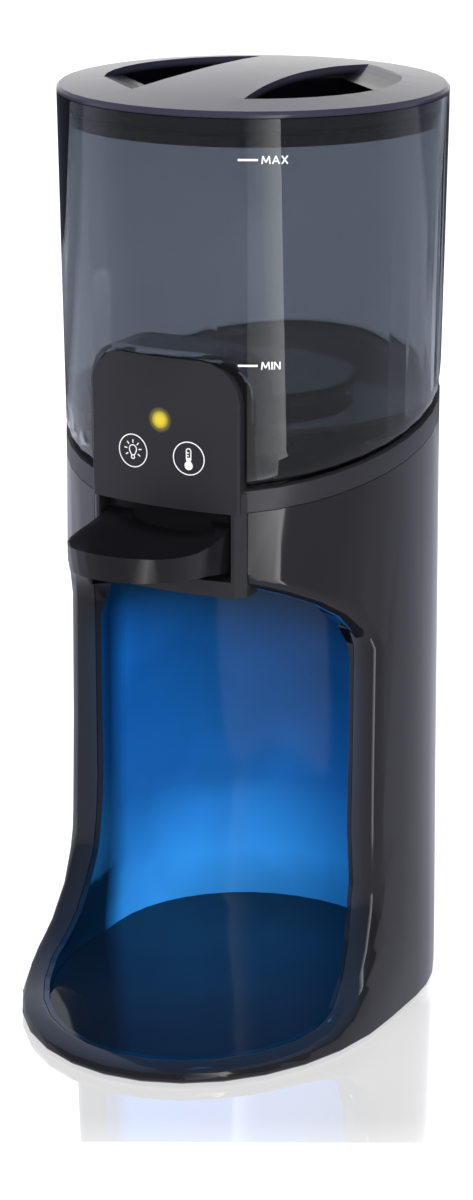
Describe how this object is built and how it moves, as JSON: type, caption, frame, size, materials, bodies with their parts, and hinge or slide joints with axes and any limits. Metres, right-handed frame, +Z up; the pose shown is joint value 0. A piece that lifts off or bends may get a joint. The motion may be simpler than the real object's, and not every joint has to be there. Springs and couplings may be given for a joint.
{
  "type": "bottle warmer",
  "caption": "Countertop water warmer for baby bottles: a lidded smoky water tank on a round column with a bottle bay, a push paddle that dispenses, and a touch panel.",
  "frame": {"origin": "bottom centre of the whole, on the plane that the feet stand on", "axes": "+Z up; -Y out of the bottle bay, towards the person who uses it; +X to that person's right"},
  "size_m": [0.158, 0.204, 0.3868],
  "materials": {
    "shell_gloss": "gloss black with a faint violet cast",
    "liner_gloss": "gloss, dark, lit blue by the night light",
    "floor_gloss": "gloss black",
    "cover_satin": "fine satin",
    "paddle_satin": "fine satin",
    "lid_satin": "satin grey violet",
    "tank_smoke": "clear smoky blue grey",
    "base_matte": "matte black",
    "rubber_black": "matte rubber",
    "tube_silicone": "milky silicone",
    "inner_white": "plain moulded",
    "board_green": "lacquered board",
    "pad_brass": "plain sheet",
    "coil_brass": "wound wire",
    "plate_aluminium": "brushed",
    "element_steel": "plain sheathed",
    "spring_steel": "spring wire",
    "screw_steel": "zinc plated",
    "lens_amber": "lit lens",
    "lens_frost": "frosted lens"
  },
  "bodies": {
    "base": {"body_shell": "shell_gloss", "bay_liner": "liner_gloss", "bay_floor": "floor_gloss", "bottom_cover": "base_matte", "power_inlet": "base_matte", "foot_1": "rubber_black", "foot_2": "rubber_black", "foot_3": "rubber_black", "foot_4": "rubber_black", "cover_screw_1": "screw_steel", "cover_screw_2": "screw_steel", "cover_screw_3": "screw_steel", "cover_screw_4": "screw_steel", "top_cover": "cover_satin", "top_screw_1": "screw_steel", "top_screw_2": "screw_steel", "top_screw_3": "screw_steel", "heater_plate": "plate_aluminium", "heating_ring": "element_steel", "temperature_sensor": "element_steel", "thermal_cutout": "inner_white", "status_lens": "lens_amber", "touch_board": "board_green", "touch_pad_light": "pad_brass", "touch_pad_heat": "pad_brass", "main_board": "board_green", "board_screw_1": "screw_steel", "board_screw_2": "screw_steel", "board_screw_3": "screw_steel", "board_screw_4": "screw_steel", "paddle_pin_left": "screw_steel", "paddle_pin_right": "screw_steel", "paddle_return_spring": "spring_steel", "micro_switch": "base_matte", "spout_nozzle": "inner_white", "solenoid_valve_body": "inner_white", "solenoid_coil": "coil_brass", "outlet_tube": "tube_silicone", "inlet_tube": "tube_silicone", "night_light_lens": "lens_frost", "night_light_board": "board_green"},
    "tank": {"water_tank": "tank_smoke", "tank_valve_body": "inner_white", "tank_valve_ring": "rubber_black", "tank_valve_spring": "spring_steel"},
    "valve_plunger": {"tank_valve_plunger": "inner_white", "tank_valve_washer": "rubber_black"},
    "lid": {"tank_lid": "lid_satin", "lid_seal": "rubber_black"},
    "paddle": {"dispense_paddle": "paddle_satin"},
    "switch_button": {"micro_switch_button": "inner_white"}
  },
  "joints": [
    {"name": "tank_lift", "type": "slide", "parent": "base", "child": "tank", "axis": [0, 0, 1], "range_m": [0, 0.1]},
    {"name": "lid_lift", "type": "slide", "parent": "tank", "child": "lid", "axis": [0, 0, 1], "range_m": [0, 0.05]},
    {"name": "valve_close", "type": "slide", "parent": "tank", "child": "valve_plunger", "axis": [0, 0, -1], "range_m": [0, 0.003], "deforming": ["tank_valve_spring"]},
    {"name": "paddle_press", "type": "hinge", "parent": "base", "child": "paddle", "pos_m": [0, -0.027, 0.213], "axis": [1, 0, 0], "range_deg": [0, 4], "stiffness_Nm_per_rad": 1, "springref_deg": -5.73, "deforming": ["paddle_return_spring"]},
    {"name": "switch_travel", "type": "slide", "parent": "base", "child": "switch_button", "axis": [0, 0, 1], "range_m": [0, 0.0008]}
  ],
  "couplings": [
    {"joint": "valve_close", "follows": "tank_lift", "ratio": 0.03},
    {"joint": "switch_travel", "follows": "paddle_press", "m_per_rad": 0.01145}
  ]
}
